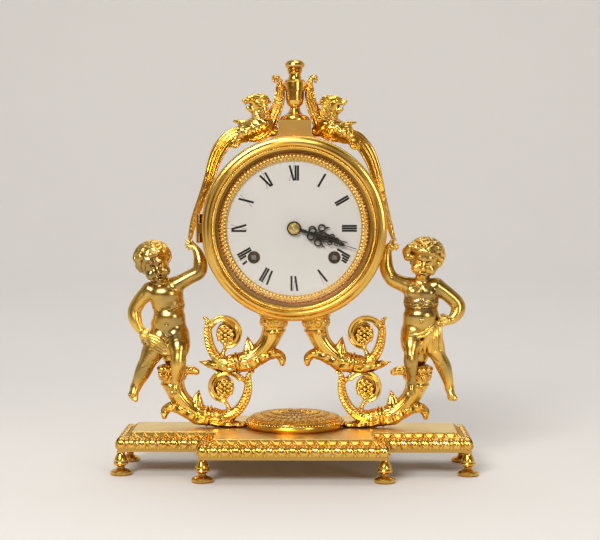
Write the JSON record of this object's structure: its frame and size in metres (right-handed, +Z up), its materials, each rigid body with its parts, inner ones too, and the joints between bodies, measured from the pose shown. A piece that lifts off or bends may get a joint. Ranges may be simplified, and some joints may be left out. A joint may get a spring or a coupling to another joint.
{
  "type": "table clock",
  "caption": "Gilt table clock: round drum on scrolled horns between two child figures, urn and winged crests above, stepped plinth on turned feet, hinged bezel and rear door, striking movement.",
  "frame": {"origin": "centre of the plinth, on the surface that the feet stand on", "axes": "+Z up, the dial faces -Y, +X to the viewer's right; the clock is left-right symmetric but for the two figures and straps"},
  "size_m": [0.2624, 0.1316, 0.296],
  "materials": {
    "gilt_brass": "polished lacquered gilt casting, darker in the hollows",
    "worn_gilt": "polished, with the gilding worn thin",
    "sight_brass": "pressed and burnished",
    "movement_brass": "brushed sheet",
    "steel": "ground",
    "spring_steel": "blued to grey",
    "bell_metal": "nickelled",
    "dial_enamel": "white vitreous enamel",
    "black_hands": "black",
    "clear_glass": "clear"
  },
  "bodies": {
    "clock": {"base_plate": "gilt_brass", "wing_feet": "gilt_brass", "bay_feet": "gilt_brass", "boss_patera": "gilt_brass", "cornucopia_lower_left": "gilt_brass", "cornucopia_lower_right": "gilt_brass", "cornucopia_upper_left": "gilt_brass", "cornucopia_upper_right": "gilt_brass", "crest_left": "gilt_brass", "crest_right": "gilt_brass", "pedestal_block": "gilt_brass", "urn_body": "gilt_brass", "urn_lid": "gilt_brass", "finial_knob": "gilt_brass", "drum_case": "gilt_brass", "putto_left": "worn_gilt", "putto_right": "worn_gilt", "sight_ring": "sight_brass", "front_plate": "movement_brass", "back_plate": "movement_brass", "plate_pillars": "movement_brass", "balance_cock": "movement_brass", "dial_feet": "movement_brass", "mount_screws": "steel", "urn_rod": "steel", "bezel_pin": "steel", "door_pin": "steel", "movement_brackets": "steel", "bell_post": "steel", "winding_grommets": "spring_steel", "bell": "bell_metal", "dial": "dial_enamel"},
    "bezel_door": {"bezel": "gilt_brass", "bezel_glass": "clear_glass", "glass_ring": "sight_brass"},
    "back_door": {"rear_door": "gilt_brass"},
    "minute_work": {"centre_arbor": "steel", "cannon_pinion": "steel", "minute_hand": "black_hands", "hand_cap": "sight_brass"},
    "hour_work": {"hour_wheel": "movement_brass", "hour_hand": "black_hands"},
    "minute_wheel_body": {"minute_wheel": "movement_brass"},
    "second_wheel_body": {"second_wheel": "movement_brass"},
    "third_wheel_body": {"third_wheel": "movement_brass"},
    "escape_wheel_body": {"escape_wheel": "movement_brass"},
    "lever_body": {"pallet_lever": "steel"},
    "balance_body": {"balance_wheel": "movement_brass"},
    "time_barrel_body": {"time_barrel": "movement_brass", "time_mainspring": "spring_steel"},
    "time_arbor_body": {"time_arbor": "steel"},
    "time_click_body": {"time_click": "spring_steel"},
    "strike_barrel_body": {"strike_barrel": "movement_brass", "strike_mainspring": "spring_steel"},
    "strike_arbor_body": {"strike_arbor": "steel"},
    "strike_click_body": {"strike_click": "spring_steel"},
    "strike_wheel_body": {"strike_wheel": "movement_brass"},
    "fly_body": {"strike_fly": "movement_brass"},
    "hammer_body": {"hammer": "steel"}
  },
  "joints": [
    {"name": "bezel_hinge", "type": "hinge", "parent": "clock", "child": "bezel_door", "pos_m": [-0.0674, -0.0318, 0.1759], "axis": [0, 0, -1], "range_deg": [0, 100]},
    {"name": "rear_door_hinge", "type": "hinge", "parent": "clock", "child": "back_door", "pos_m": [0.0645, 0.0344, 0.1759], "axis": [0, 0, -1], "range_deg": [0, 110]},
    {"name": "minute_hand_turn", "type": "hinge", "parent": "clock", "child": "minute_work", "pos_m": [0, 0, 0.1759], "axis": [0, 1, 0], "continuous": true},
    {"name": "hour_hand_turn", "type": "hinge", "parent": "clock", "child": "hour_work", "pos_m": [0, 0, 0.1759], "axis": [0, 1, 0], "continuous": true},
    {"name": "minute_wheel_turn", "type": "hinge", "parent": "clock", "child": "minute_wheel_body", "pos_m": [0, 0, 0.1639], "axis": [0, 1, 0], "continuous": true},
    {"name": "second_wheel_turn", "type": "hinge", "parent": "clock", "child": "second_wheel_body", "pos_m": [0.01764, 0, 0.17951], "axis": [0, 1, 0], "continuous": true},
    {"name": "third_wheel_turn", "type": "hinge", "parent": "clock", "child": "third_wheel_body", "pos_m": [0, 0, 0.1934], "axis": [0, 1, 0], "continuous": true},
    {"name": "escape_wheel_turn", "type": "hinge", "parent": "clock", "child": "escape_wheel_body", "pos_m": [0, 0, 0.2069], "axis": [0, 1, 0], "continuous": true},
    {"name": "lever_rock", "type": "hinge", "parent": "clock", "child": "lever_body", "pos_m": [-0.0086, 0, 0.2093], "axis": [0, 1, 0], "range_deg": [-8, 8]},
    {"name": "balance_swing", "type": "hinge", "parent": "clock", "child": "balance_body", "pos_m": [-0.0184, 0, 0.2115], "axis": [0, 1, 0], "range_deg": [-135, 135], "stiffness_Nm_per_rad": 0.00002},
    {"name": "time_barrel_turn", "type": "hinge", "parent": "clock", "child": "time_barrel_body", "pos_m": [0.0284, 0, 0.1554], "axis": [0, 1, 0], "continuous": true},
    {"name": "time_winding", "type": "hinge", "parent": "clock", "child": "time_arbor_body", "pos_m": [0.0284, 0, 0.1554], "axis": [0, 1, 0], "continuous": true},
    {"name": "time_click_lift", "type": "hinge", "parent": "clock", "child": "time_click_body", "pos_m": [0.01708, 0, 0.15825], "axis": [0, -1, 0], "range_deg": [0, 10], "stiffness_Nm_per_rad": 0.002, "springref_deg": -2.86},
    {"name": "strike_barrel_turn", "type": "hinge", "parent": "clock", "child": "strike_barrel_body", "pos_m": [-0.0284, 0, 0.1554], "axis": [0, 1, 0], "continuous": true},
    {"name": "strike_winding", "type": "hinge", "parent": "clock", "child": "strike_arbor_body", "pos_m": [-0.0284, 0, 0.1554], "axis": [0, 1, 0], "continuous": true},
    {"name": "strike_click_lift", "type": "hinge", "parent": "clock", "child": "strike_click_body", "pos_m": [-0.01708, 0, 0.15825], "axis": [0, 1, 0], "range_deg": [0, 10], "stiffness_Nm_per_rad": 0.002, "springref_deg": -2.86},
    {"name": "strike_wheel_turn", "type": "hinge", "parent": "clock", "child": "strike_wheel_body", "pos_m": [-0.01764, 0, 0.17951], "axis": [0, 1, 0], "continuous": true},
    {"name": "fly_turn", "type": "hinge", "parent": "clock", "child": "fly_body", "pos_m": [-0.02553, 0, 0.19501], "axis": [0, 1, 0], "continuous": true},
    {"name": "hammer_lift", "type": "hinge", "parent": "clock", "child": "hammer_body", "pos_m": [-0.0122, 0, 0.2029], "axis": [0, 1, 0], "range_deg": [0, 12]}
  ],
  "couplings": [
    {"joint": "hour_hand_turn", "follows": "minute_hand_turn", "ratio": 0.083333},
    {"joint": "minute_wheel_turn", "follows": "minute_hand_turn", "ratio": -0.33333},
    {"joint": "second_wheel_turn", "follows": "minute_hand_turn", "ratio": -0.25},
    {"joint": "time_barrel_turn", "follows": "minute_hand_turn", "ratio": 0.044643},
    {"joint": "third_wheel_turn", "follows": "minute_hand_turn", "ratio": -6},
    {"joint": "escape_wheel_turn", "follows": "minute_hand_turn", "ratio": 30},
    {"joint": "strike_wheel_turn", "follows": "strike_barrel_turn", "ratio": -5.6},
    {"joint": "fly_turn", "follows": "strike_barrel_turn", "ratio": 26.88}
  ]
}
